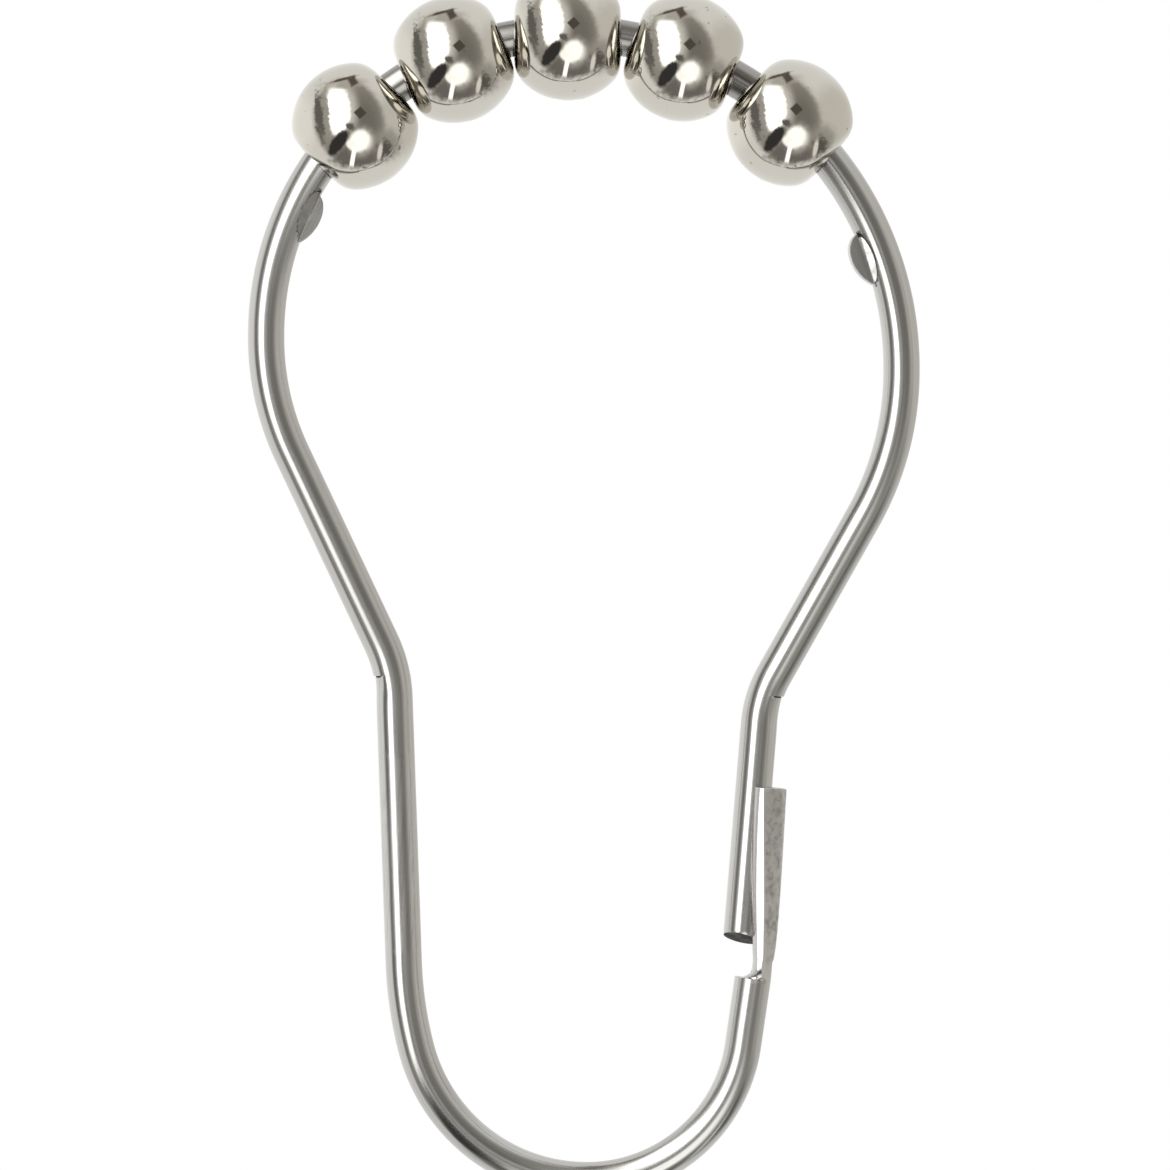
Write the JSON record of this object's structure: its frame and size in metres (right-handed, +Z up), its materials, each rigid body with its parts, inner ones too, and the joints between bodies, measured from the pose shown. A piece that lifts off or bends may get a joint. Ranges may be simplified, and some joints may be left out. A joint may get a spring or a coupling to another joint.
{
  "type": "shower curtain hook",
  "caption": "Sprung wire curtain hook in a keyhole loop, with roller balls on its top arc and a gutter clasp on one leg.",
  "frame": {"origin": "underside of the middle ball, where the hook hangs on a rod", "axes": "+Z up along the hook's height, +X across the loop towards the clasp, +Y through the loop from front to back"},
  "size_m": [0.0423, 0.008, 0.0771],
  "materials": {
    "spring_steel": "drawn, semi-gloss",
    "bright_nickel": "bright nickel plate"
  },
  "bodies": {
    "hook": {"hook_wire": "spring_steel"},
    "ball_1": {"roller_ball_1": "bright_nickel"},
    "ball_2": {"roller_ball_2": "bright_nickel"},
    "ball_3": {"roller_ball_3": "bright_nickel"},
    "ball_4": {"roller_ball_4": "bright_nickel"},
    "ball_5": {"roller_ball_5": "bright_nickel"}
  },
  "joints": [
    {"name": "ball_1_spin", "type": "hinge", "parent": "hook", "child": "ball_1", "pos_m": [-0.01337, 0, -0.00161], "axis": [0.7005, 0, 0.7137], "continuous": true},
    {"name": "ball_2_spin", "type": "hinge", "parent": "hook", "child": "ball_2", "pos_m": [-0.00717, 0, 0.00257], "axis": [0.9239, 0, 0.3826], "continuous": true},
    {"name": "ball_3_spin", "type": "hinge", "parent": "hook", "child": "ball_3", "pos_m": [0, 0, 0.004], "axis": [1, 0, 0], "continuous": true},
    {"name": "ball_4_spin", "type": "hinge", "parent": "hook", "child": "ball_4", "pos_m": [0.00729, 0, 0.00268], "axis": [0.9365, 0, -0.3506], "continuous": true},
    {"name": "ball_5_spin", "type": "hinge", "parent": "hook", "child": "ball_5", "pos_m": [0.01396, 0, -0.00139], "axis": [0.7408, 0, -0.6717], "continuous": true}
  ]
}
